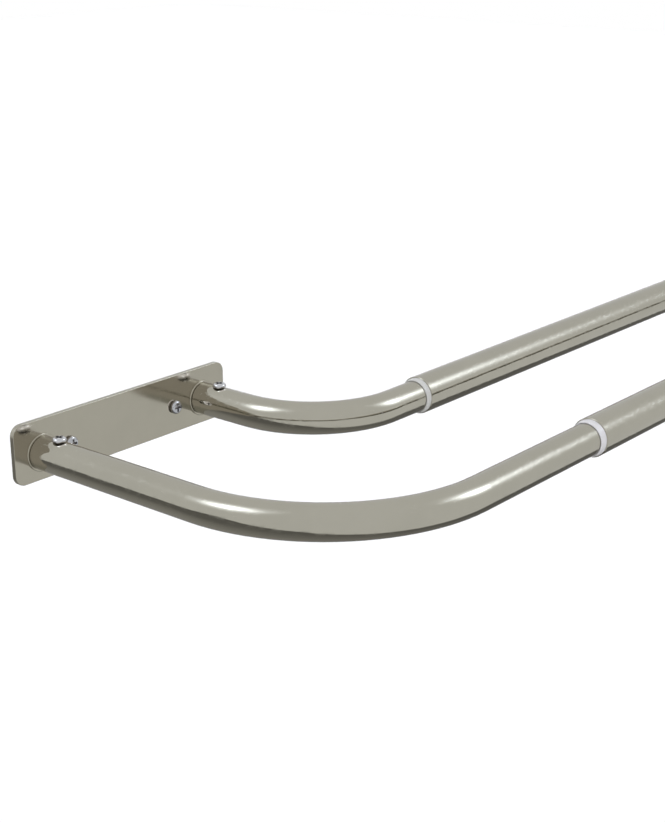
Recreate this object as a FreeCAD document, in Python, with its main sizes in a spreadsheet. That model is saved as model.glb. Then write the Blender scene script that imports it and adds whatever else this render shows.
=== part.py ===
import FreeCAD, Part
import math
import os
import Sketcher

# Double curtain pole, two telescoping wrap-round poles on a wall plate at each end.
# Frame: origin in the middle of the left plate's back face, on the wall.
# +X runs along the wall to the right end, +Y points into the wall, +Z is up.

SIZES = [
    # Wall plate
    ("plate_length", 133.7),
    ("plate_height", 28.8),
    ("plate_thickness", 2.3),
    ("plate_corner", 5.2),
    ("plate_edge", 0.2),
    # Places on the plate: each post from its end, each wall screw from its post, all axes' height
    ("post_inset", 15.65),
    ("outer_screw_spacing", 16.5),
    ("inner_screw_spacing", 19.0),
    ("axis_drop", 1.4),
    # Post: the stub that carries an elbow, its flange on the plate's face and its spigot
    # peened into the plate's back
    ("flange_step", 0.9),
    ("flange_thickness", 0.8),
    ("flange_round", 0.35),
    ("post_length", 20.0),
    ("post_clearance", 0.05),
    ("post_chamfer", 1.2),
    ("spigot_diameter", 8.0),
    ("spigot_clearance", 0.05),
    ("spigot_flare", 0.9),
    # Centre tube: the wide tube that both elbows slide into
    ("tube_diameter", 19.0),
    ("tube_wall", 0.8),
    ("tube_edge", 0.25),
    ("tube_length", 373.4),
    ("mouth_offset", 122.6),
    # Elbow: the bent end tube, narrower than the centre tube's bore by twice the slide clearance
    ("slide_clearance", 0.7),
    ("elbow_wall", 0.8),
    ("elbow_end_gap", 0.05),
    ("elbow_end_round", 0.4),
    ("elbow_edge", 0.25),
    ("elbow_overlap", 160.0),
    ("front_reach", 183.7),
    ("front_bend", 83.7),
    ("rear_reach", 83.7),
    ("rear_bend", 48.8),
    # Collar: the plastic bush in each mouth of a centre tube, its lip narrower towards the front
    ("front_lip", 3.8),
    ("rear_lip", 2.9),
    ("lip_root_step", 0.5),
    ("lip_front_wall", 0.25),
    ("collar_sleeve", 12.0),
    ("collar_running_gap", 0.2),
    ("collar_fit_gap", 0.03),
    ("collar_edge", 0.15),
    # Glide: the plastic plug in the inner end of each elbow
    ("glide_lip", 3.0),
    ("glide_plug", 9.0),
    ("glide_bore", 8.0),
    ("glide_running_gap", 0.1),
    ("glide_fit_gap", 0.03),
    ("glide_edge", 0.6),
    # Locking screw through the top of each elbow
    ("lock_offset", 12.5),
    ("lock_thread", 4.0),
    ("lock_thread_gap", 0.05),
    ("lock_standoff", 0.3),
    ("lock_head_diameter", 6.7),
    ("lock_head_height", 1.8),
    ("lock_head_crown", 1.2),
    ("lock_head_rim", 0.25),
    ("lock_tip_bevel", 0.4),
    ("lock_seat_depth", 0.7),
    ("lock_seat_gap", 0.03),
    # Wall screw: a neck through the plate, then the threaded shank in the wall
    ("wall_neck", 3.0),
    ("wall_neck_reach", 0.8),
    ("wall_shank", 4.0),
    ("wall_shank_gap", 0.3),
    ("wall_shank_length", 26.5),
    ("wall_point", 5.0),
    ("wall_tip", 0.6),
    ("wall_head_diameter", 6.6),
    ("wall_head_height", 2.4),
    ("wall_head_crown", 1.2),
    ("wall_head_rim", 0.6),
    ("wall_head_gap", 0.03),
    # Cross recess of every screw head
    ("recess_length", 4.2),
    ("recess_width", 1.1),
    ("recess_depth", 1.4),
]

# An edge is at a place when it lies within this distance of it
NEAR = 1e-4

doc = FreeCAD.newDocument("double_curtain_pole")
sheet = doc.addObject("Spreadsheet::Sheet", "Sizes")
for row, (alias, value) in enumerate(SIZES, start=1):
    sheet.set(f"A{row}", alias)
    sheet.set(f"B{row}", str(value))
    sheet.setAlias(f"B{row}", alias)
doc.recompute()

# Places that several pieces share, each worked out from the sizes above
MID_PLANE = "(Sizes.mouth_offset + Sizes.tube_length / 2)"
POST_OFFSET = "(Sizes.plate_length / 2 - Sizes.post_inset)"
WALL_SCREW_PLACES = {
    "outer": f"-({POST_OFFSET} - Sizes.outer_screw_spacing)",
    "inner": f"({POST_OFFSET} - Sizes.inner_screw_spacing)",
}
TUBE_BORE = "(Sizes.tube_diameter - 2 * Sizes.tube_wall)"
FLANGE_FACE = "(Sizes.plate_thickness + Sizes.flange_thickness)"
ELBOW_START = f"({FLANGE_FACE} + Sizes.elbow_end_gap)"
ELBOW_RADIUS = f"({TUBE_BORE} / 2 - Sizes.slide_clearance)"
ELBOW_BORE = f"(2 * {ELBOW_RADIUS} - 2 * Sizes.elbow_wall)"
POST_RADIUS = f"({ELBOW_BORE} / 2 - Sizes.post_clearance)"
LOCK_PLACE = "(Sizes.plate_thickness + Sizes.lock_offset)"
LOCK_SEAT = f"({POST_RADIUS} - Sizes.lock_seat_depth)"

parts = []


# A part goes at an expression for each of its three coordinates
def place(part, x="0", y="0", z="0", turn=None):
    if turn:
        part.Placement = FreeCAD.Placement(FreeCAD.Vector(), turn)
    for axis, where in zip("xyz", (x, y, z)):
        part.setExpression(f"Placement.Base.{axis}", where)
    parts.append(part)
    return part


def new_body(label):
    body = doc.addObject("PartDesign::Body", label)
    body.Label = label
    return body


def new_sketch(body, plane, name, lift=None):
    support = [item for item in body.Origin.OriginFeatures if item.Role == plane][0]
    sketch = body.newObject("Sketcher::SketchObject", f"{body.Label}_{name}")
    sketch.AttachmentSupport = (support, [""])
    sketch.MapMode = "FlatFace"
    if lift:
        sketch.setExpression("AttachmentOffset.Base.z", lift)
    return sketch


# One point of a sketch is held at an expression for its two coordinates, or for its first.
# It starts from where it is drawn, so that an arc keeps to its own side.
def pin_point(sketch, geometry, end, x, y=None):
    drawn = sketch.getPoint(geometry, end)
    for kind, where, now, axis in (("DistanceX", x, drawn.x, -2), ("DistanceY", y, drawn.y, -1)):
        if where == "0":
            sketch.addConstraint(Sketcher.Constraint("PointOnObject", geometry, end, axis))
        elif where:
            number = sketch.addConstraint(Sketcher.Constraint(kind, -1, 1, geometry, end, now))
            sketch.setExpression(f"Constraints[{number}]", where)


# A closed outline of straight lines through the given corners
def draw_outline(sketch, corners):
    count = len(corners)
    turns = [2 * math.pi * step / count for step in range(count)]
    start = [FreeCAD.Vector(math.cos(turn), math.sin(turn), 0) for turn in turns]
    for step in range(count):
        sketch.addGeometry(Part.LineSegment(start[step], start[(step + 1) % count]))
    for step in range(count):
        sketch.addConstraint(Sketcher.Constraint("Coincident", step, 2, (step + 1) % count, 1))
    for step, (x, y) in enumerate(corners):
        pin_point(sketch, step, 1, x, y)


def draw_circle(sketch, x, y, diameter):
    circle = Part.Circle(FreeCAD.Vector(1, 1, 0), FreeCAD.Vector(0, 0, 1), 1)
    geometry = sketch.addGeometry(circle)
    pin_point(sketch, geometry, 3, x, y)
    number = sketch.addConstraint(Sketcher.Constraint("Diameter", geometry, 2 * circle.Radius))
    sketch.setExpression(f"Constraints[{number}]", diameter)


def draw_rectangle(sketch, length, width):
    low, high = f"-{length} / 2", f"{length} / 2"
    near, far = f"-{width} / 2", f"{width} / 2"
    draw_outline(sketch, [(low, near), (high, near), (high, far), (low, far)])


def revolve(body, sketch, axis):
    turned = body.newObject("PartDesign::Revolution", f"{body.Label}_turned")
    turned.Profile = sketch
    turned.ReferenceAxis = (sketch, [axis])
    turned.Angle = 360
    return turned


# A cut that goes right through from the sketch, or to a depth
def pocket(body, sketch, name, depth=None, upward=False):
    cut = body.newObject("PartDesign::Pocket", f"{body.Label}_{name}")
    cut.Profile = sketch
    cut.Reversed = upward
    if depth:
        cut.setExpression("Length", depth)
    else:
        cut.Type = "ThroughAll"
    return cut


# Rounding or bevelling of the edges that a test picks out
def dress(body, kind, name, base, amount, wanted):
    doc.recompute()
    names = [f"Edge{number}" for number, edge in enumerate(base.Shape.Edges, start=1) if wanted(edge)]
    dressed = body.newObject(f"PartDesign::{kind}", f"{body.Label}_{name}")
    dressed.Base = (base, names)
    dressed.setExpression("Radius" if kind == "Fillet" else "Size", amount)
    return dressed


def size(alias):
    return float(sheet.get(alias))


# The value that an expression of sizes has now
def worked_out(expression):
    return float(sheet.evalExpression(expression))


def is_circle(edge, radius):
    return isinstance(edge.Curve, Part.Circle) and abs(edge.Curve.Radius - radius) < NEAR


# A flat pressed plate with rounded corners, two post holes and two wall screw holes
def make_wall_plate(label):
    body = new_body(label)
    face = new_sketch(body, "XZ_Plane", "face")
    draw_rectangle(face, "Sizes.plate_length", "Sizes.plate_height")
    blank = body.newObject("PartDesign::Pad", f"{label}_blank")
    blank.Profile = face
    blank.setExpression("Length", "Sizes.plate_thickness")

    holes = new_sketch(body, "XZ_Plane", "holes")
    for side in ("-", ""):
        draw_circle(
            holes, f"{side}{POST_OFFSET}", "-Sizes.axis_drop",
            "Sizes.spigot_diameter + 2 * Sizes.spigot_clearance",
        )
    for screw_place in WALL_SCREW_PLACES.values():
        draw_circle(
            holes, screw_place, "-Sizes.axis_drop", "Sizes.wall_shank + 2 * Sizes.wall_shank_gap",
        )
    pierced = pocket(body, holes, "pierced", upward=True)

    front = -size("plate_thickness")
    spigot_hole = size("spigot_diameter") / 2 + size("spigot_clearance")

    def across_corner(edge):
        box = edge.BoundBox
        return isinstance(edge.Curve, Part.Line) and max(box.XLength, box.ZLength) < NEAR

    def at_front_outline(edge):
        return abs(edge.BoundBox.YMax - front) < NEAR and not edge.isClosed()

    def at_back_of_spigot_hole(edge):
        return is_circle(edge, spigot_hole) and abs(edge.BoundBox.YMin) < NEAR

    cornered = dress(body, "Fillet", "corners", pierced, "Sizes.plate_corner", across_corner)
    softened = dress(body, "Fillet", "soft_edge", cornered, "Sizes.plate_edge", at_front_outline)
    dress(body, "Chamfer", "peen_seat", softened, "Sizes.spigot_flare", at_back_of_spigot_hole)
    return place(body)


# A turned stub: spigot through the plate, flange on its face, seat for the locking screw
def make_post(label, side):
    body = new_body(label)
    spigot = "Sizes.spigot_diameter / 2"
    plate_face = "-Sizes.plate_thickness"
    flange = f"({ELBOW_RADIUS} + Sizes.flange_step)"
    end = "-(Sizes.plate_thickness + Sizes.post_length)"
    profile = new_sketch(body, "XY_Plane", "profile")
    draw_outline(profile, [
        ("0", "0"),
        (f"{spigot} + Sizes.spigot_flare", "0"),
        (spigot, "-Sizes.spigot_flare"),
        (spigot, plate_face),
        (flange, plate_face),
        (flange, f"-{FLANGE_FACE}"),
        (POST_RADIUS, f"-{FLANGE_FACE}"),
        (POST_RADIUS, f"{end} + Sizes.post_chamfer"),
        (f"{POST_RADIUS} - Sizes.post_chamfer", end),
        ("0", end),
    ])
    turned = revolve(body, profile, "V_Axis")
    rim, front = worked_out(flange), -worked_out(FLANGE_FACE)
    dress(
        body, "Fillet", "soft_flange", turned, "Sizes.flange_round",
        lambda edge: is_circle(edge, rim) and abs(edge.BoundBox.YMin - front) < NEAR,
    )
    seat = new_sketch(body, "XY_Plane", "seat", LOCK_SEAT)
    draw_circle(seat, "0", f"-{LOCK_PLACE}", "Sizes.lock_thread + 2 * Sizes.lock_thread_gap")
    pocket(body, seat, "seat_cut", upward=True)
    return place(body, f"{side} * {POST_OFFSET}", "0", "-Sizes.axis_drop")


# A tube bent through a right angle: straight out from the wall, round, then along the wall
def make_elbow(label, side, reach, bend):
    body = new_body(label)
    offset = f"{side} * {POST_OFFSET}"
    run = f"(Sizes.{reach} - Sizes.{bend} - {ELBOW_START})"
    end = f"(Sizes.mouth_offset + Sizes.elbow_overlap - {offset})"
    path = new_sketch(body, "XY_Plane", "path")
    radius = size(bend)
    bend_start = FreeCAD.Vector(0, -worked_out(run), 0)
    bend_middle = bend_start + FreeCAD.Vector(radius, 0, 0)
    bend_end = bend_start + FreeCAD.Vector(radius, -radius, 0)
    inner_end = FreeCAD.Vector(worked_out(end), bend_end.y, 0)
    upright = FreeCAD.Vector(0, 0, 1)
    path.addGeometry(Part.LineSegment(FreeCAD.Vector(), bend_start))
    path.addGeometry(Part.ArcOfCircle(
        Part.Circle(bend_middle, upright, radius), math.pi, 1.5 * math.pi,
    ))
    path.addGeometry(Part.LineSegment(bend_end, inner_end))
    path.addConstraint(Sketcher.Constraint("Coincident", 0, 2, 1, 1))
    path.addConstraint(Sketcher.Constraint("Coincident", 1, 2, 2, 1))
    pin_point(path, 0, 1, "0", "0")
    pin_point(path, 0, 2, "0", f"-{run}")
    pin_point(path, 1, 3, f"Sizes.{bend}", f"-{run}")
    pin_point(path, 1, 2, f"Sizes.{bend}")
    pin_point(path, 2, 2, end, f"-{run} - Sizes.{bend}")

    section = new_sketch(body, "XZ_Plane", "section")
    draw_circle(section, "0", "0", f"2 * {ELBOW_RADIUS}")
    draw_circle(section, "0", "0", ELBOW_BORE)
    swept = body.newObject("PartDesign::AdditivePipe", f"{label}_swept")
    swept.Profile = section
    swept.Spine = (path, ["Edge1", "Edge2", "Edge3"])

    tapped = new_sketch(body, "XY_Plane", "tapped")
    draw_circle(
        tapped, "0", f"-{LOCK_PLACE} + {ELBOW_START}",
        "Sizes.lock_thread + 2 * Sizes.lock_thread_gap",
    )
    hole = pocket(body, tapped, "tapped_hole", upward=True)

    outside = worked_out(ELBOW_RADIUS)
    inner_end_x = worked_out(end)

    def at_plate(edge):
        return is_circle(edge, outside) and abs(edge.BoundBox.YMin) < NEAR

    def at_inner_end(edge):
        return is_circle(edge, outside) and abs(edge.BoundBox.XMin - inner_end_x) < NEAR

    rounded = dress(body, "Fillet", "rounded_end", hole, "Sizes.elbow_end_round", at_plate)
    dress(body, "Chamfer", "broken_edge", rounded, "Sizes.elbow_edge", at_inner_end)
    return place(body, offset, f"-{ELBOW_START}", "-Sizes.axis_drop")


# A straight tube that spans the middle, open at both mouths
def make_centre_tube(label, reach):
    body = new_body(label)
    section = new_sketch(body, "YZ_Plane", "section")
    draw_circle(section, "0", "0", "Sizes.tube_diameter")
    draw_circle(section, "0", "0", TUBE_BORE)
    drawn = body.newObject("PartDesign::Pad", f"{label}_drawn")
    drawn.Profile = section
    drawn.setExpression("Length", "Sizes.tube_length")
    outside = size("tube_diameter") / 2
    dress(
        body, "Chamfer", "broken_edges", drawn, "Sizes.tube_edge",
        lambda edge: is_circle(edge, outside),
    )
    return place(body, "Sizes.mouth_offset", f"-Sizes.{reach}", "-Sizes.axis_drop")


# A collar: its sleeve lines the mouth, its lip bears on the tube's end and tapers to the front
def make_collar(label, reach, lip):
    body = new_body(label)
    front = f"-Sizes.{lip}"
    bore = f"{ELBOW_RADIUS} + Sizes.collar_running_gap"
    tip = f"{bore} + Sizes.lip_front_wall"
    sleeve = f"{TUBE_BORE} / 2 - Sizes.collar_fit_gap"
    profile = new_sketch(body, "XY_Plane", "profile")
    draw_outline(profile, [
        (front, bore),
        ("Sizes.collar_sleeve", bore),
        ("Sizes.collar_sleeve", sleeve),
        ("0", sleeve),
        ("0", "Sizes.tube_diameter / 2 - Sizes.lip_root_step"),
        (front, tip),
    ])
    turned = revolve(body, profile, "H_Axis")
    rim = worked_out(tip)
    dress(
        body, "Fillet", "soft_lip", turned, "Sizes.collar_edge",
        lambda edge: is_circle(edge, rim) and edge.BoundBox.XMax < -NEAR,
    )
    return place(body, "Sizes.mouth_offset", f"-Sizes.{reach}", "-Sizes.axis_drop")


# A glide: its plug sits in the elbow's inner end, its lip runs in the centre tube
def make_glide(label, reach):
    body = new_body(label)
    plug = f"{ELBOW_BORE} / 2 - Sizes.glide_fit_gap"
    lip = f"{TUBE_BORE} / 2 - Sizes.glide_running_gap"
    profile = new_sketch(body, "XY_Plane", "profile")
    draw_outline(profile, [
        ("-Sizes.glide_plug", "Sizes.glide_bore / 2"),
        ("Sizes.glide_lip", "Sizes.glide_bore / 2"),
        ("Sizes.glide_lip", f"{lip} - Sizes.glide_edge"),
        ("Sizes.glide_lip - Sizes.glide_edge", lip),
        ("0", lip),
        ("0", plug),
        ("-Sizes.glide_plug + Sizes.glide_edge", plug),
        ("-Sizes.glide_plug", f"{plug} - Sizes.glide_edge"),
    ])
    revolve(body, profile, "H_Axis")
    return place(
        body, "Sizes.mouth_offset + Sizes.elbow_overlap", f"-Sizes.{reach}", "-Sizes.axis_drop",
    )


# A pan head screw along its own Z: its stem's outline from the tip up to the head,
# a crown and a cross recess on top
def make_pan_screw(label, stem, under_head, head):
    body = new_body(label)
    rim = f"Sizes.{head}_head_diameter / 2"
    top = f"({under_head} + Sizes.{head}_head_height)"
    profile = new_sketch(body, "XZ_Plane", "profile")
    draw_outline(profile, stem + [(rim, under_head), (rim, top), ("0", top)])
    turned = revolve(body, profile, "V_Axis")

    rim_radius = worked_out(rim)
    low, high = worked_out(under_head), worked_out(top)
    crowned = dress(
        body, "Fillet", "crown", turned, f"Sizes.{head}_head_crown",
        lambda edge: is_circle(edge, rim_radius) and abs(edge.BoundBox.ZMin - high) < NEAR,
    )
    dress(
        body, "Fillet", "lower_rim", crowned, f"Sizes.{head}_head_rim",
        lambda edge: is_circle(edge, rim_radius) and abs(edge.BoundBox.ZMin - low) < NEAR,
    )

    slot_sketch = new_sketch(body, "XY_Plane", "slot", top)
    draw_rectangle(slot_sketch, "Sizes.recess_length", "Sizes.recess_width")
    slot = pocket(body, slot_sketch, "slot_cut", "Sizes.recess_depth")
    doc.recompute()
    cross = body.newObject("PartDesign::PolarPattern", f"{label}_cross")
    cross.Originals = [slot]
    cross.Axis = (slot_sketch, ["N_Axis"])
    cross.Angle = 90
    cross.Occurrences = 2
    body.Tip = cross
    return body


# The screw goes through the elbow's wall, and its tip bears on the seat in the post
def make_lock_screw(label, side):
    thread = "Sizes.lock_thread / 2"
    tip = f"({LOCK_SEAT} + Sizes.lock_seat_gap)"
    under_head = f"({ELBOW_RADIUS} + Sizes.lock_standoff)"
    stem = [
        ("0", tip),
        (f"{thread} - Sizes.lock_tip_bevel", tip),
        (thread, f"{tip} + Sizes.lock_tip_bevel"),
        (thread, under_head),
    ]
    body = make_pan_screw(label, stem, under_head, "lock")
    return place(body, f"{side} * {POST_OFFSET}", f"-{LOCK_PLACE}", "-Sizes.axis_drop")


# The head rests on the plate's front, the neck passes through the hole into the wall
def make_wall_screw(label, screw_place):
    under_head = "(Sizes.plate_thickness + Sizes.wall_head_gap)"
    tip = f"({under_head} - Sizes.wall_shank_length)"
    neck, shank = "Sizes.wall_neck / 2", "Sizes.wall_shank / 2"
    stem = [
        ("0", tip),
        ("Sizes.wall_tip / 2", tip),
        (shank, f"{tip} + Sizes.wall_point"),
        (shank, f"-Sizes.wall_neck_reach - {shank} + {neck}"),
        (neck, "-Sizes.wall_neck_reach"),
        (neck, under_head),
    ]
    body = make_pan_screw(label, stem, under_head, "wall")
    towards_room = FreeCAD.Rotation(FreeCAD.Vector(1, 0, 0), 90)
    return place(body, screw_place, "0", "-Sizes.axis_drop", towards_room)


# The right end is the left one seen in a mirror at the middle of the span
def mirror_to_right(part):
    twin = doc.addObject("Part::Mirroring", part.Label.replace("left", "right"))
    twin.Label = part.Label.replace("left", "right")
    twin.Source = part
    twin.Normal = FreeCAD.Vector(1, 0, 0)
    twin.setExpression("Base.x", MID_PLANE)
    parts.append(twin)


# The front pole's post is on the outer side of the plate, the rear pole's on the inner side
left_end = [make_wall_plate("left_wall_plate")]
for pole, side in (("front", -1), ("rear", 1)):
    left_end += [
        make_post(f"left_{pole}_post", side),
        make_elbow(f"left_{pole}_elbow", side, f"{pole}_reach", f"{pole}_bend"),
        make_lock_screw(f"left_{pole}_lock_screw", side),
        make_glide(f"left_{pole}_glide", f"{pole}_reach"),
        make_collar(f"left_{pole}_collar", f"{pole}_reach", f"{pole}_lip"),
    ]
    make_centre_tube(f"{pole}_centre_tube", f"{pole}_reach")
for name, screw_place in WALL_SCREW_PLACES.items():
    left_end.append(make_wall_screw(f"left_{name}_wall_screw", screw_place))

doc.recompute()
for part in left_end:
    mirror_to_right(part)
doc.recompute()

# Every object must have worked, and every piece must be one closed solid
for item in doc.Objects:
    if "Invalid" in item.State or "Error" in item.State:
        raise ValueError(f"{item.Label} did not build")
for part in parts:
    shape = part.Shape
    if shape.isNull() or not shape.isValid() or len(shape.Solids) != 1:
        raise ValueError(f"{part.Label} is not one valid solid")
os.makedirs("parts", exist_ok=True)
for part in parts:
    part.Shape.exportStep(f"parts/{part.Label}.step")
print(len(parts), "pieces written")
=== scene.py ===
import math
import bpy
from mathutils import Matrix, Vector


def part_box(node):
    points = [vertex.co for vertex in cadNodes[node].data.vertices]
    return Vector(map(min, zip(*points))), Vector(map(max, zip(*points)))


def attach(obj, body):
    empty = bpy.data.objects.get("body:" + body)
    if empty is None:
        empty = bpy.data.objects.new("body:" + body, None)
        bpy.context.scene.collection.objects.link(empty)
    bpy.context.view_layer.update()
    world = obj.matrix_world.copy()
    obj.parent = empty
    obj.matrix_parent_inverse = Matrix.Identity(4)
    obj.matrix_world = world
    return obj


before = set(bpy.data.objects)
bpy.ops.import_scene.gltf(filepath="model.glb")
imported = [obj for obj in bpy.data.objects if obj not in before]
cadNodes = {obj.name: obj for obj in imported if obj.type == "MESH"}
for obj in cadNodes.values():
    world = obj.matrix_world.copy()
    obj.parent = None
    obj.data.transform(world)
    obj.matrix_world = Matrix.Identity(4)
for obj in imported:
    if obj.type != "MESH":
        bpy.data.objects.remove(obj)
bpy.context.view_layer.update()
print("frame loaded:", len(cadNodes), "nodes")

# Camera: the place is in metres from the middle of the left wall plate, the turns in degrees.
camera = {
    "place": (-0.45983, -0.51846, 0.23676),
    "heading": -49.894,             # from +Y, anticlockwise seen from above
    "pitch": -18.755,
    "roll": -0.233,
    "lens": 66.44,                  # millimetres on a 36 mm frame
    "nearest": 0.02,
    "farthest": 60.0,
}


def addCamera(size):
    lensData = bpy.data.cameras.new("viewCamera")
    lensData.lens = size["lens"]
    lensData.clip_start = size["nearest"]
    lensData.clip_end = size["farthest"]
    holder = bpy.data.objects.new("viewCamera", lensData)
    bpy.context.scene.collection.objects.link(holder)
    heading = Matrix.Rotation(math.radians(size["heading"]), 4, "Z")
    pitch = Matrix.Rotation(math.radians(90.0 + size["pitch"]), 4, "X")
    roll = Matrix.Rotation(math.radians(size["roll"]), 4, "Z")
    holder.matrix_world = Matrix.Translation(size["place"]) @ heading @ pitch @ roll
    bpy.context.scene.camera = holder


addCamera(camera)
bpy.context.scene.view_settings.view_transform = "Standard"
print("camera set")


# Small helpers for node trees. A value that is a socket is linked, any other is typed in.
def addNode(tree, kind, **settings):
    node = tree.nodes.new(kind)
    for name, value in settings.items():
        setattr(node, name, value)
    return node


def feed(tree, target, value):
    if isinstance(value, bpy.types.NodeSocket):
        tree.links.new(value, target)
    else:
        target.default_value = value


def calc(tree, operation, *values):
    node = addNode(tree, "ShaderNodeMath", operation=operation)
    for target, value in zip(node.inputs, values):
        feed(tree, target, value)
    return node.outputs[0]


def ramp(tree, value, start, end, low=0.0, high=1.0, smooth=False):
    node = addNode(tree, "ShaderNodeMapRange", clamp=True)
    node.interpolation_type = "SMOOTHSTEP" if smooth else "LINEAR"
    for label, entry in (("Value", value), ("From Min", start), ("From Max", end),
                         ("To Min", low), ("To Max", high)):
        feed(tree, node.inputs[label], entry)
    return node.outputs["Result"]


def mixColours(tree, share, first, second):
    node = addNode(tree, "ShaderNodeMix", data_type="RGBA")
    feed(tree, node.inputs["Factor"], share)
    feed(tree, node.inputs["A"], first)
    feed(tree, node.inputs["B"], second)
    return node.outputs["Result"]


def vectorOf(tree, x, y, z):
    node = addNode(tree, "ShaderNodeCombineXYZ")
    for target, value in zip(node.inputs, (x, y, z)):
        feed(tree, target, value)
    return node.outputs["Vector"]


def splitVector(tree, vector):
    node = addNode(tree, "ShaderNodeSeparateXYZ")
    tree.links.new(vector, node.inputs["Vector"])
    return node.outputs["X"], node.outputs["Y"], node.outputs["Z"]


def noise(tree, vector, scale, detail=2.0, roughness=0.5):
    node = addNode(tree, "ShaderNodeTexNoise", noise_dimensions="3D")
    feed(tree, node.inputs["Vector"], vector)
    feed(tree, node.inputs["Scale"], scale)
    node.inputs["Detail"].default_value = detail
    node.inputs["Roughness"].default_value = roughness
    return node.outputs["Fac"]


def opaque(colour):
    return (*colour, 1.0)


white = opaque((1.0, 1.0, 1.0))

# Light: an even white room with two round soft lamps in it, as directions seen from the pole.
room = {
    "diffuseLevel": 0.845,          # the lamps bring a surface that faces up to about 1
    "mirrorLevel": 1.0,
    "twiceMirrored": 1.40,          # what a pole shows of its neighbour is this much lighter
    "twiceTint": (1.0, 0.955, 0.985),
    "lampTint": (0.94, 1.0, 1.13),
    "lamps": (
        {"azimuth": -122.0, "elevation": 49.5, "spread": 11.5, "level": 3.9},
        {"azimuth": 52.5, "elevation": 34.5, "spread": 10.5, "level": 4.2},
        {"azimuth": -122.0, "elevation": 49.5, "spread": 4.0, "level": 9.0},    # their bright middles
        {"azimuth": 52.5, "elevation": 34.5, "spread": 4.0, "level": 9.0},
    ),
}


def lampDirection(lamp):
    azimuth = math.radians(lamp["azimuth"])       # from -Y towards +X
    elevation = math.radians(lamp["elevation"])
    return (math.cos(elevation) * math.sin(azimuth), -math.cos(elevation) * math.cos(azimuth),
            math.sin(elevation))


def mirrorLift(tree, rays):
    twice = ramp(tree, rays.outputs["Glossy Depth"], 1.0, 2.0)
    lift = ramp(tree, twice, 0.0, 1.0, 1.0, room["twiceMirrored"])
    return lift, mixColours(tree, twice, white, opaque(room["twiceTint"]))


def mirrorRay(tree, rays):
    return calc(tree, "MAXIMUM", rays.outputs["Is Glossy Ray"], rays.outputs["Is Transmission Ray"])


def lightRoom(size):
    world = bpy.data.worlds.new("room")
    bpy.context.scene.world = world
    world.use_nodes = True
    # with no sampling rays find the room by themselves, so that each kind sees its own level
    world.cycles.sampling_method = "NONE"
    tree = world.node_tree
    tree.nodes.clear()
    direction = addNode(tree, "ShaderNodeTexCoord").outputs["Generated"]
    light = 1.0
    for lamp in size["lamps"]:
        toLamp = addNode(tree, "ShaderNodeVectorMath", operation="DOT_PRODUCT")
        tree.links.new(direction, toLamp.inputs[0])
        toLamp.inputs[1].default_value = lampDirection(lamp)
        facing = calc(tree, "MAXIMUM", toLamp.outputs["Value"], 0.0)
        sharpness = 2.0 / math.radians(lamp["spread"]) ** 2
        fall = calc(tree, "POWER", facing, sharpness)
        light = calc(tree, "MULTIPLY_ADD", fall, lamp["level"], light)
    rays = addNode(tree, "ShaderNodeLightPath")
    seen = calc(tree, "MAXIMUM", mirrorRay(tree, rays), rays.outputs["Is Camera Ray"])
    level = ramp(tree, seen, 0.0, 1.0, size["diffuseLevel"], size["mirrorLevel"])
    background = addNode(tree, "ShaderNodeBackground")
    lampShare = calc(tree, "DIVIDE", calc(tree, "SUBTRACT", light, 1.0), light)
    lift, twiceTint = mirrorLift(tree, rays)
    colour = mixColours(tree, lampShare, twiceTint, opaque(size["lampTint"]))
    strength = calc(tree, "MULTIPLY", light, calc(tree, "MULTIPLY", level, lift))
    tree.links.new(colour, background.inputs["Color"])
    tree.links.new(strength, background.inputs["Strength"])
    output = addNode(tree, "ShaderNodeOutputWorld")
    tree.links.new(background.outputs["Background"], output.inputs["Surface"])


lightRoom(room)
print("room lit")


def showFrontOnly(tree, front, output):
    # a studio piece that hides nothing from a camera behind or under it
    clear = addNode(tree, "ShaderNodeBsdfTransparent")
    blend = addNode(tree, "ShaderNodeMixShader")
    tree.links.new(addNode(tree, "ShaderNodeNewGeometry").outputs["Backfacing"], blend.inputs["Fac"])
    tree.links.new(front, blend.inputs[1])
    tree.links.new(clear.outputs["BSDF"], blend.inputs[2])
    tree.links.new(blend.outputs["Shader"], output.inputs["Surface"])


# Floor: pale and far below the poles. Mirrors show it in the room's white.
floorPiece = {"width": 30.0, "height": -1.2, "colour": (1.0, 0.992, 0.985), "roughness": 0.9}


def addFloor(size):
    bpy.ops.object.select_all(action="DESELECT")
    bpy.ops.mesh.primitive_plane_add(size=size["width"], location=(0.0, 0.0, size["height"]))
    floor = bpy.context.object
    floor.name = "studio_floor"
    material = bpy.data.materials.new("paleFloor")
    material.use_nodes = True
    material.cycles.emission_sampling = "NONE"
    tree = material.node_tree
    paint = tree.nodes["Principled BSDF"]
    paint.inputs["Base Color"].default_value = opaque(size["colour"])
    paint.inputs["Roughness"].default_value = size["roughness"]
    paint.inputs["Specular IOR Level"].default_value = 0.0
    glow = addNode(tree, "ShaderNodeEmission")
    rays = addNode(tree, "ShaderNodeLightPath")
    lift, twiceTint = mirrorLift(tree, rays)
    tree.links.new(lift, glow.inputs["Strength"])
    tree.links.new(twiceTint, glow.inputs["Color"])
    blend = addNode(tree, "ShaderNodeMixShader")
    tree.links.new(mirrorRay(tree, rays), blend.inputs["Fac"])
    tree.links.new(paint.outputs["BSDF"], blend.inputs[1])
    tree.links.new(glow.outputs["Emission"], blend.inputs[2])
    showFrontOnly(tree, blend.outputs["Shader"], tree.nodes["Material Output"])
    floor.data.materials.append(material)


addFloor(floorPiece)

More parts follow.
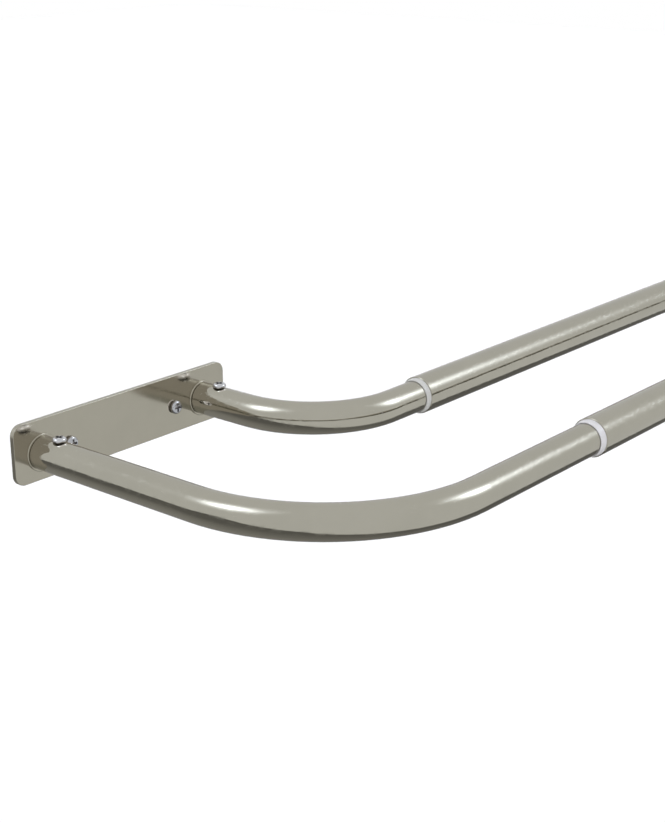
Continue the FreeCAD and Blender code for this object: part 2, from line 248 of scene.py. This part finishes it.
# Dark card: it lies over the floor below and behind the poles, out of the camera's sight.
darkCard = {
    "height": -1.1,
    "frontEdge": -0.775,            # along Y
    "frontHalfWidth": 1.35,
    "backEdge": 4.1,
    "sideSlope": 0.45,              # how far an edge goes back for each metre out to a side
    "softness": 0.09,
    "colour": (1.0, 0.98, 0.94),
    "brightPlace": (0.1, 0.9),      # the card gets darker from here, to the sides and to the front
    "brightLevel": 0.45,
    "darkLevel": 0.22,
    "levelSpan": (0.2, 1.75),       # metres from the bright place
    "margin": 0.5,
}


def addDarkCard(size):
    reach = size["frontHalfWidth"] + (size["backEdge"] - size["frontEdge"]) / size["sideSlope"]
    depth = size["backEdge"] - size["frontEdge"] + 2.0 * size["margin"]
    middle = (size["backEdge"] + size["frontEdge"]) / 2.0
    bpy.ops.object.select_all(action="DESELECT")
    bpy.ops.mesh.primitive_plane_add(size=1.0)
    card = bpy.context.object
    card.name = "dark_card"
    width = 2.0 * (reach + size["margin"])
    for vertex in card.data.vertices:
        vertex.co = (vertex.co.x * width, middle + vertex.co.y * depth, size["height"])
    material = bpy.data.materials.new("darkCard")
    material.use_nodes = True
    material.cycles.emission_sampling = "NONE"
    tree = material.node_tree
    tree.nodes.clear()
    x, y = splitVector(tree, addNode(tree, "ShaderNodeTexCoord").outputs["Object"])[:2]
    fromFront = calc(tree, "SUBTRACT", y, size["frontEdge"])
    fromBack = calc(tree, "SUBTRACT", size["backEdge"], y)
    aside = calc(tree, "SUBTRACT", calc(tree, "ABSOLUTE", x), size["frontHalfWidth"])
    fromSide = calc(tree, "MULTIPLY_ADD", aside, -size["sideSlope"], fromFront)
    inside = calc(tree, "MINIMUM", calc(tree, "MINIMUM", fromFront, fromBack), fromSide)
    cover = ramp(tree, inside, -size["softness"], size["softness"], smooth=True)
    across = calc(tree, "SUBTRACT", x, size["brightPlace"][0])
    along = calc(tree, "MINIMUM", calc(tree, "SUBTRACT", y, size["brightPlace"][1]), 0.0)
    squares = calc(tree, "MULTIPLY_ADD", across, across, calc(tree, "MULTIPLY", along, along))
    level = ramp(tree, calc(tree, "SQRT", squares), *size["levelSpan"], size["brightLevel"],
                 size["darkLevel"], smooth=True)
    glow = addNode(tree, "ShaderNodeEmission")
    feed(tree, glow.inputs["Strength"], ramp(tree, cover, 0.0, 1.0, 1.0, level))
    feed(tree, glow.inputs["Color"], mixColours(tree, cover, white, opaque(size["colour"])))
    showFrontOnly(tree, glow.outputs["Emission"], addNode(tree, "ShaderNodeOutputMaterial"))
    card.data.materials.append(material)
    card.visible_camera = False
    card.visible_shadow = False
    card.visible_volume_scatter = False


addDarkCard(darkCard)
print("floor and dark card laid")


# Shader groups for effects that several finishes share.
def newGroup(name, inputs, outputs):
    group = bpy.data.node_groups.new(name, "ShaderNodeTree")
    for label, kind, value in inputs:
        socket = group.interface.new_socket(name=label, in_out="INPUT", socket_type="NodeSocket" + kind)
        if value is not None:
            socket.default_value = value
    for label in outputs:
        group.interface.new_socket(name=label, in_out="OUTPUT", socket_type="NodeSocketFloat")
    source = group.nodes.new("NodeGroupInput").outputs
    target = group.nodes.new("NodeGroupOutput").inputs
    return group, source, target


drawnMarks = {
    "lineLength": 0.012,            # a pattern's scale along the pole, as a share of that across it
    "waveLength": 0.45,
    "spotSpan": (0.50, 0.62),
}


def makeDrawnLines(look):
    # Lines left by the drawing die, which run along a pole and round its bend.
    group, source, target = newGroup("drawnLines", (
        ("Vector", "Vector", None), ("Bend X", "Float", 0.0), ("Bend Y", "Float", 0.0),
        ("Side", "Float", 1.0), ("Line Scale", "Float", 900.0), ("Wave Scale", "Float", 130.0),
        ("Peel Scale", "Float", 560.0),
    ), ("Lines", "Waves", "Peel", "Spots"))
    x, y, z = splitVector(group, source["Vector"])
    out = calc(group, "MULTIPLY", calc(group, "SUBTRACT", x, source["Bend X"]), source["Side"])
    outward = calc(group, "MINIMUM", out, 0.0)
    forward = calc(group, "MINIMUM", calc(group, "SUBTRACT", y, source["Bend Y"]), 0.0)
    squares = calc(group, "MULTIPLY_ADD", outward, outward, calc(group, "MULTIPLY", forward, forward))
    across = calc(group, "SQRT", squares)
    along = calc(group, "SUBTRACT", calc(group, "MAXIMUM", out, 0.0), y)
    fine = vectorOf(group, across, z, calc(group, "MULTIPLY", along, look["lineLength"]))
    feed(group, target["Lines"], noise(group, fine, source["Line Scale"], detail=3.0, roughness=0.6))
    broad = vectorOf(group, across, z, calc(group, "MULTIPLY", along, look["waveLength"]))
    feed(group, target["Waves"], noise(group, broad, source["Wave Scale"], roughness=0.55))
    peel = noise(group, broad, source["Peel Scale"], detail=1.0)
    feed(group, target["Peel"], peel)
    feed(group, target["Spots"], ramp(group, peel, *look["spotSpan"], smooth=True))
    return group


hazeMarks = {
    "cloudSpan": (0.3, 0.7),
    "slant": 0.35,                  # of the two directions of hairlines
    "hairLengths": (0.04, 0.05),    # a hairline's scale along it, as a share of that across it
    "hairWidth": 0.012,
    "brokenSpan": (0.50, 0.62),     # hairlines show only where the clouds are this dense
}


def makePlatingHaze(look):
    # Uneven plating and handling marks: soft clouds, and a few hairlines in two directions.
    group, source, target = newGroup("platingHaze", (
        ("Vector", "Vector", None), ("Cloud Scale", "Float", 45.0), ("Hair Scale", "Float", 160.0),
    ), ("Clouds", "Hairs"))
    clouds = noise(group, source["Vector"], source["Cloud Scale"], detail=3.0, roughness=0.6)
    feed(group, target["Clouds"], ramp(group, clouds, *look["cloudSpan"], smooth=True))
    x, y, z = splitVector(group, source["Vector"])
    slant = calc(group, "MULTIPLY_ADD", y, look["slant"], x)
    rise = calc(group, "MULTIPLY_ADD", x, -look["slant"], calc(group, "ADD", y, z))
    alongSlant = calc(group, "MULTIPLY", slant, look["hairLengths"][0])
    alongRise = calc(group, "MULTIPLY", rise, look["hairLengths"][1])
    hairs = []
    for vector in (vectorOf(group, alongSlant, rise, z), vectorOf(group, slant, alongRise, y)):
        field = noise(group, vector, source["Hair Scale"], detail=1.0)
        fromMiddle = calc(group, "ABSOLUTE", calc(group, "SUBTRACT", field, 0.5))
        hairs.append(ramp(group, fromMiddle, 0.0, look["hairWidth"], 1.0, 0.0))
    broken = ramp(group, clouds, *look["brokenSpan"])
    feed(group, target["Hairs"], calc(group, "MULTIPLY", calc(group, "MAXIMUM", *hairs), broken))
    return group


def makeTurnedRings():
    # Fine rings round the Z axis of the vector, as a lathe or a heading die leaves them.
    group, source, target = newGroup("turnedRings", (
        ("Vector", "Vector", None), ("Ring Scale", "Float", 2500.0), ("Grain Scale", "Float", 1800.0),
    ), ("Rings", "Grain"))
    x, y, z = splitVector(group, source["Vector"])
    squares = calc(group, "MULTIPLY_ADD", x, x, calc(group, "MULTIPLY", y, y))
    rings = vectorOf(group, calc(group, "SQRT", squares), 0.0, z)
    feed(group, target["Rings"], noise(group, rings, source["Ring Scale"], roughness=0.6))
    feed(group, target["Grain"], noise(group, source["Vector"], source["Grain Scale"], roughness=0.6))
    return group


def makeMouldedGrain():
    # Moulded plastic: a fine skin and slow flow marks.
    group, source, target = newGroup("mouldedGrain", (
        ("Vector", "Vector", None), ("Skin Scale", "Float", 1500.0), ("Flow Scale", "Float", 90.0),
    ), ("Skin", "Flow"))
    skin = noise(group, source["Vector"], source["Skin Scale"], detail=3.0, roughness=0.6)
    feed(group, target["Skin"], skin)
    feed(group, target["Flow"], noise(group, source["Vector"], source["Flow Scale"]))
    return group


drawnLines = makeDrawnLines(drawnMarks)
platingHaze = makePlatingHaze(hazeMarks)
turnedRings = makeTurnedRings()
mouldedGrain = makeMouldedGrain()
print("shader groups made")


# Materials
def newMaterial(name):
    material = bpy.data.materials.new(name)
    material.use_nodes = True
    tree = material.node_tree
    return material, tree, tree.nodes["Principled BSDF"]


def middleOf(node):
    low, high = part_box(node)
    return (Vector(low) + Vector(high)) / 2.0


def placedVector(tree, middle=(0.0, 0.0, 0.0), turn=(0.0, 0.0, 0.0)):
    place = addNode(tree, "ShaderNodeMapping", vector_type="TEXTURE")
    tree.links.new(addNode(tree, "ShaderNodeTexCoord").outputs["Object"], place.inputs["Vector"])
    place.inputs["Location"].default_value = middle
    place.inputs["Rotation"].default_value = turn
    return place.outputs["Vector"]


def useGroup(tree, group, vector, **values):
    node = addNode(tree, "ShaderNodeGroup", node_tree=group)
    tree.links.new(vector, node.inputs["Vector"])
    for label, value in values.items():
        node.inputs[label].default_value = value
    return node.outputs


def sumOf(tree, base, *terms):
    total = base
    for mask, share in terms:
        total = calc(tree, "MULTIPLY_ADD", mask, share, total)
    return total


def bump(tree, shader, *layers):
    # Each layer is a height from 0 to 1 and its depth in metres.
    normal = None
    for height, depth in layers:
        node = addNode(tree, "ShaderNodeBump")
        node.inputs["Distance"].default_value = depth
        tree.links.new(height, node.inputs["Height"])
        if normal is not None:
            tree.links.new(normal, node.inputs["Normal"])
        normal = node.outputs["Normal"]
    tree.links.new(normal, shader.inputs["Normal"])


nickel = {
    "colour": (0.374, 0.363, 0.310),
    "hazeColour": (0.360, 0.350, 0.298),
    "edgeTint": (0.78, 0.78, 0.78),
    "roughness": 0.03,
    "lineRoughness": 0.03,
    "hazeRoughness": 0.02,
    "hairRoughness": 0.06,
    "lineDepth": 0.0000006,
    "waveDepth": 0.000012,
    "peelDepth": 0.000024,
    "spotRoughness": 0.14,
}


def edgeMask(tree, vector, node, span):
    # 1 between the two faces of a plate, 0 on them
    low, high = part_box(node)
    fromMiddle = calc(tree, "SUBTRACT", splitVector(tree, vector)[1], (low[1] + high[1]) / 2.0)
    start, end = [share * (high[1] - low[1]) for share in span]
    return ramp(tree, calc(tree, "ABSOLUTE", fromMiddle), start, end, 1.0, 0.0)


def nickelFinish(name, look, node, bend, side):
    material, tree, shader = newMaterial(name)
    vector = placedVector(tree)
    lines = useGroup(tree, drawnLines, vector, **{"Bend X": bend[0], "Bend Y": bend[1], "Side": side})
    haze = useGroup(tree, platingHaze, vector)
    colour = mixColours(tree, haze["Clouds"], opaque(look["colour"]), opaque(look["hazeColour"]))
    tree.links.new(colour, shader.inputs["Base Color"])
    shader.inputs["Metallic"].default_value = 1.0
    shader.inputs["Specular Tint"].default_value = opaque(look["edgeTint"])
    rough = sumOf(tree, look["roughness"], (lines["Lines"], look["lineRoughness"]),
                  (lines["Spots"], look["spotRoughness"]), (haze["Clouds"], look["hazeRoughness"]),
                  (haze["Hairs"], look["hairRoughness"]))
    if "edgeRoughness" in look:
        edge = edgeMask(tree, vector, node, look["edgeSpan"])
        rough = sumOf(tree, rough, (edge, look["edgeRoughness"]))
    tree.links.new(rough, shader.inputs["Roughness"])
    bump(tree, shader, (lines["Waves"], look["waveDepth"]), (lines["Peel"], look["peelDepth"]),
         (lines["Lines"], look["lineDepth"]))
    return material


plateNickel = {
    "colour": (0.341, 0.328, 0.273),
    "hazeColour": (0.329, 0.316, 0.264),
    "edgeTint": (0.90, 0.90, 0.90),
    "roughness": 0.09,
    "lineRoughness": 0.03,
    "hazeRoughness": 0.03,
    "hairRoughness": 0.08,
    "lineDepth": 0.0000005,
    "waveDepth": 0.000008,
    "peelDepth": 0.000004,
    "spotRoughness": 0.0,
    "edgeRoughness": 0.20,          # the sheared edges are duller than the faces
    "edgeSpan": (0.38, 0.46),       # from the plate's middle, as shares of its thickness
}

# Turns that bring the Z axis of a pattern or a circle onto the axis of a round piece
upright = (0.0, 0.0, 0.0)
alongY = (math.pi / 2.0, 0.0, 0.0)
alongX = (0.0, math.pi / 2.0, 0.0)

# What the three turned finishes have in common
turnedMarks = {"cloudScale": 400.0, "hairScale": 900.0}

lockZinc = {
    "colour": (0.52, 0.53, 0.55),
    "hazeColour": (0.46, 0.47, 0.49),
    # painted shade: the head's colour under its rim, and where that band starts and ends
    "rimShadeColour": (0.34, 0.33, 0.31),
    "rimShadeSpan": (0.0011, 0.0016),    # below the top of the head
    "rimShadeEnd": (0.0021, 0.0023),
    # painted reflection: the head's lighter colour where another mirror shows it from afar
    "paintedMirrorColour": (0.93, 0.94, 0.96),
    "mirrorSpan": (0.0012, 0.0020),     # shorter rays come from the head's own recess
    "roughness": 0.09,
    "ringRoughness": 0.05,
    "hazeRoughness": 0.04,
    "ringDepth": 0.000002,
    "grainDepth": 0.000002,
}

wallZinc = {
    "colour": (0.43, 0.44, 0.46),
    "hazeColour": (0.38, 0.39, 0.41),
    # painted shade: the head's colour under its rim, and where that band starts and ends
    "rimShadeColour": (0.23, 0.22, 0.20),
    "rimShadeSpan": (0.0009, 0.0015),
    "rimShadeEnd": (0.0026, 0.0028),
    # painted reflection: the head's lighter colour where another mirror shows it from afar
    "paintedMirrorColour": (0.85, 0.86, 0.88),
    "mirrorSpan": (0.0012, 0.0020),
    "roughness": 0.11,
    "ringRoughness": 0.05,
    "hazeRoughness": 0.04,
    "ringDepth": 0.000003,
    "grainDepth": 0.000003,
}


def turnedMetal(name, look, node, turn):
    material, tree, shader = newMaterial(name)
    vector = placedVector(tree, middleOf(node), turn)
    turned = useGroup(tree, turnedRings, vector)
    haze = useGroup(tree, platingHaze, vector, **{"Cloud Scale": turnedMarks["cloudScale"],
                                                  "Hair Scale": turnedMarks["hairScale"]})
    colour = mixColours(tree, haze["Clouds"], opaque(look["colour"]), opaque(look["hazeColour"]))
    if "rimShadeColour" in look:
        # painted shade: the bright head is darkened under its rim; a painted reflection lightens it
        # where other mirrors show it
        low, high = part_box(node)
        axis = 2 if turn == upright else 1
        top = (high[axis] - low[axis]) / 2.0
        below = calc(tree, "SUBTRACT", top, splitVector(tree, vector)[2])
        rim = calc(tree, "MULTIPLY", ramp(tree, below, *look["rimShadeSpan"], smooth=True),
                   ramp(tree, below, *look["rimShadeEnd"], 1.0, 0.0))
        colour = mixColours(tree, rim, colour, opaque(look["rimShadeColour"]))
        # painted reflection: glossy rays from afar see the head in a lighter colour
        rays = addNode(tree, "ShaderNodeLightPath")
        fromAfar = ramp(tree, rays.outputs["Ray Length"], *look["mirrorSpan"])
        paintedMirrorLight = calc(tree, "MULTIPLY", rays.outputs["Is Glossy Ray"], fromAfar)
        colour = mixColours(tree, paintedMirrorLight, colour, opaque(look["paintedMirrorColour"]))
    tree.links.new(colour, shader.inputs["Base Color"])
    shader.inputs["Metallic"].default_value = 1.0
    rough = sumOf(tree, look["roughness"], (turned["Rings"], look["ringRoughness"]),
                  (haze["Clouds"], look["hazeRoughness"]))
    tree.links.new(rough, shader.inputs["Roughness"])
    bump(tree, shader, (turned["Rings"], look["ringDepth"]), (turned["Grain"], look["grainDepth"]))
    return material


turnedNickel = {
    "colour": (0.341, 0.328, 0.273),
    "hazeColour": (0.329, 0.316, 0.264),
    "roughness": 0.10,
    "ringRoughness": 0.05,
    "hazeRoughness": 0.04,
    "ringDepth": 0.000004,
    "grainDepth": 0.000002,
}

# Painted shade: the rear collars, of the same plastic as the front ones, are darkened to a greyer
# colour
collarShadeTone = {"front": (1.0, 1.0, 1.0), "rear": (0.865, 0.875, 0.83)}

whitePlastic = {
    "colour": (0.685, 0.675, 0.690),
    "flowColour": (0.655, 0.645, 0.665),
    "roughness": 0.33,
    "skinRoughness": 0.12,
    "skinDepth": 0.000006,
    "flowDepth": 0.00003,
    "ringScale": 1400.0,
    "refraction": 1.49,
    "coat": 0.12,
    "coatRoughness": 0.15,
}

naturalPlastic = {
    "colour": (0.74, 0.72, 0.66),
    "flowColour": (0.69, 0.67, 0.60),
    "roughness": 0.42,
    "skinRoughness": 0.15,
    "skinDepth": 0.000006,
    "flowDepth": 0.00002,
    "ringScale": 1400.0,
    "refraction": 1.49,
    "coat": 0.0,
    "coatRoughness": 0.15,
}


def mouldedPlastic(name, look, middle, shadeTone=(1.0, 1.0, 1.0)):
    material, tree, shader = newMaterial(name)
    vector = placedVector(tree, middle)
    grain = useGroup(tree, mouldedGrain, vector)
    turned = useGroup(tree, turnedRings, placedVector(tree, middle, alongX),
                      **{"Ring Scale": look["ringScale"]})
    # the painted shade scales the plastic's colours
    shades = [opaque([part * share for part, share in zip(look[label], shadeTone)])
              for label in ("colour", "flowColour")]
    colour = mixColours(tree, grain["Flow"], *shades)
    tree.links.new(colour, shader.inputs["Base Color"])
    rough = sumOf(tree, look["roughness"], (grain["Skin"], look["skinRoughness"]),
                  (turned["Rings"], look["skinRoughness"]))
    tree.links.new(rough, shader.inputs["Roughness"])
    shader.inputs["IOR"].default_value = look["refraction"]
    shader.inputs["Coat Weight"].default_value = look["coat"]
    shader.inputs["Coat Roughness"].default_value = look["coatRoughness"]
    bump(tree, shader, (grain["Flow"], look["flowDepth"]), (grain["Skin"], look["skinDepth"]))
    return material


def dress(node, material):
    piece = cadNodes[node]
    piece.data.materials.clear()
    piece.data.materials.append(material)
    for face in piece.data.polygons:
        face.material_index = 0


# The poles' CAD pieces in their finishes. A pole's lines run round the middle of its bend.
bendRadius = {"front": 0.0837, "rear": 0.0488}
straightEnd = 10.0                      # a bend this far off leaves a pole straight


def postX(side, row):
    return middleOf(side + "_" + row + "_lock_screw").x


def poleY(row):
    return middleOf(row + "_centre_tube").y


for row in ("front", "rear"):
    tube = row + "_centre_tube"
    bendY = poleY(row) + bendRadius[row]
    dress(tube, nickelFinish(row + "TubeNickel", nickel, tube, (-straightEnd, bendY), 1.0))
    for side, inward in (("left", 1.0), ("right", -1.0)):
        name = side + "_" + row + "_"
        title = side + row.capitalize()
        elbow = name + "elbow"
        bend = (postX(side, row) + inward * bendRadius[row], bendY)
        dress(elbow, nickelFinish(title + "ElbowNickel", nickel, elbow, bend, inward))
        screw = name + "lock_screw"
        dress(screw, turnedMetal(title + "LockZinc", lockZinc, screw, upright))
        post = name + "post"
        dress(post, turnedMetal(title + "PostNickel", turnedNickel, post, alongY))
        collar = name + "collar"
        dress(collar, mouldedPlastic(title + "CollarPlastic", whitePlastic, middleOf(collar),
                                     collarShadeTone[row]))
        glide = name + "glide"
        dress(glide, mouldedPlastic(title + "GlidePlastic", naturalPlastic, middleOf(glide)))
print("finishes on the poles")


# Steps that the modelled pieces share. The active object is the one they work on.
def applyModifier(piece, kind, **settings):
    modifier = piece.modifiers.new(kind, kind)
    for name, value in settings.items():
        setattr(modifier, name, value)
    bpy.ops.object.modifier_apply(modifier=modifier.name)


def faceOutwards():
    bpy.ops.object.mode_set(mode="EDIT")
    bpy.ops.mesh.select_all(action="SELECT")
    bpy.ops.mesh.normals_make_consistent(inside=False)
    bpy.ops.object.mode_set(mode="OBJECT")


def copyPiece(pattern, name, move):
    piece = pattern.copy()
    piece.data = pattern.data.copy()
    piece.name = name
    bpy.context.scene.collection.objects.link(piece)
    piece.data.transform(move)
    return piece


# Lip of a collar: a soft thin edge of its mouth that wipes the elbow, with its rim rounded.
wipingLip = {
    "gap": 0.00003,                 # to the elbow's facets
    "wall": 0.00022,                # its outer skin lies inside the collar's own wall
    "depth": 0.0012,
    "setBack": 0.00002,             # behind the collar's front face
    "edge": 0.00008,
    "edgeSteps": 3,
    "corners": 128,
    "creaseAngle": 35.0,
}


def modelLip(size, radius):
    bpy.ops.object.select_all(action="DESELECT")
    bpy.ops.mesh.primitive_circle_add(vertices=size["corners"], radius=radius + size["gap"],
                                      rotation=alongX)
    lip = bpy.context.object
    bpy.ops.object.transform_apply()
    bpy.ops.object.mode_set(mode="EDIT")
    bpy.ops.mesh.select_all(action="SELECT")
    bpy.ops.mesh.extrude_region_move(TRANSFORM_OT_translate={"value": (size["depth"], 0.0, 0.0)})
    bpy.ops.object.mode_set(mode="OBJECT")
    faceOutwards()
    applyModifier(lip, "SOLIDIFY", thickness=size["wall"], offset=1.0)
    applyModifier(lip, "BEVEL", width=size["edge"], segments=size["edgeSteps"], limit_method="ANGLE")
    bpy.ops.object.shade_smooth_by_angle(angle=math.radians(size["creaseAngle"]))
    return lip


def lipPlace(collar, inward, setBack):
    low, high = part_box(collar)
    middle = middleOf(collar)
    front = low[0] + setBack
    turn = Matrix.Identity(4)
    if inward < 0.0:
        front = high[0] - setBack
        turn = Matrix.Rotation(math.pi, 4, "Z")
    return Matrix.Translation((front, middle.y, middle.z)) @ turn


elbowLow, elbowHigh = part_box("left_front_elbow")
elbowRadius = (elbowHigh[2] - elbowLow[2]) / 2.0
lipPattern = modelLip(wipingLip, elbowRadius)
for row in ("front", "rear"):
    for side, inward in (("left", 1.0), ("right", -1.0)):
        collar = side + "_" + row + "_collar"
        lip = copyPiece(lipPattern, collar + "_lip", lipPlace(collar, inward, wipingLip["setBack"]))
        lip.data.materials.append(cadNodes[collar].data.materials[0])
        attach(lip, row + "_tube")
bpy.data.objects.remove(lipPattern)
print("lips in the collars")

# Thread of a wall screw: one ridge wound round the shank, which runs out along the point.
threadRidge = {
    "root": 0.00194,                # from the screw's axis, just inside the shank
    "height": 0.00034,
    "halfWidth": 0.00052,
    "start": 0.0016,                # along Y, behind the plate
    "coneStart": 0.01917,           # where the screw's point begins
    "end": 0.0233,
    "endScale": 0.29,               # how near the axis it comes there, as a share
    "turns": 14,
    "stepsPerTurn": 28,
    "creaseAngle": 35.0,
    "endReach": 0.0006,             # how far round its place an end's points are looked for
    "levelReach": 0.00001,
}


def closeEnd(mesh, along, size):
    # One open end, found by its place, comes together in a point.
    bpy.ops.object.mode_set(mode="EDIT")
    bpy.ops.mesh.select_all(action="DESELECT")
    bpy.ops.object.mode_set(mode="OBJECT")
    for vertex in mesh.vertices:
        x, y, z = vertex.co
        vertex.select = x > 0.0 and abs(z) < size["levelReach"] and abs(y - along) < size["endReach"]
    bpy.ops.object.mode_set(mode="EDIT")
    bpy.ops.mesh.merge(type="CENTER")
    bpy.ops.object.mode_set(mode="OBJECT")


def modelThread(size):
    # The section is a triangle, which stands one and a half times its radius high.
    radius = size["height"] / 1.5
    widening = size["halfWidth"] / (radius * math.sin(math.pi / 3.0))
    bpy.ops.object.select_all(action="DESELECT")
    bpy.ops.mesh.primitive_circle_add(vertices=3, radius=radius, rotation=(0.0, 0.0, -math.pi / 2.0))
    thread = bpy.context.object
    bpy.ops.object.transform_apply()
    bpy.ops.object.mode_set(mode="EDIT")
    bpy.ops.mesh.select_all(action="SELECT")
    bpy.ops.transform.resize(value=(1.0, widening, 1.0))
    outwards = size["root"] + radius / 2.0
    bpy.ops.transform.translate(value=(outwards, size["start"] - size["coneStart"], 0.0))
    bpy.ops.object.mode_set(mode="OBJECT")

    applyModifier(thread, "SCREW", axis="Y", iterations=size["turns"],
                  screw_offset=(size["end"] - size["start"]) / size["turns"],
                  steps=size["stepsPerTurn"], render_steps=size["stepsPerTurn"])
    places = [vertex.co.y for vertex in thread.data.vertices]
    coneShare = -min(places) / (max(places) - min(places))
    applyModifier(thread, "SIMPLE_DEFORM", deform_method="TAPER", deform_axis="Y",
                  factor=size["endScale"] - 1.0, limits=(coneShare, 1.0))
    for end in ("start", "end"):
        closeEnd(thread.data, size[end] - size["coneStart"], size)
    faceOutwards()
    bpy.ops.object.shade_smooth_by_angle(angle=math.radians(size["creaseAngle"]))
    return thread


threadPattern = modelThread(threadRidge)
for side in ("left", "right"):
    plate = side + "_wall_plate"
    dress(plate, nickelFinish(side + "PlateNickel", plateNickel, plate, (-straightEnd, 0.0), 1.0))
    for which in ("outer", "inner"):
        screw = side + "_" + which + "_wall_screw"
        zinc = turnedMetal(side + which.capitalize() + "WallZinc", wallZinc, screw, alongY)
        dress(screw, zinc)
        place = middleOf(screw)
        move = Matrix.Translation((place.x, threadRidge["coneStart"], place.z))
        thread = copyPiece(threadPattern, screw + "_thread", move)
        thread.data.materials.append(zinc)
        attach(thread, side + "_end")
bpy.data.objects.remove(threadPattern)
print("finishes on the plates, threads on the wall screws")
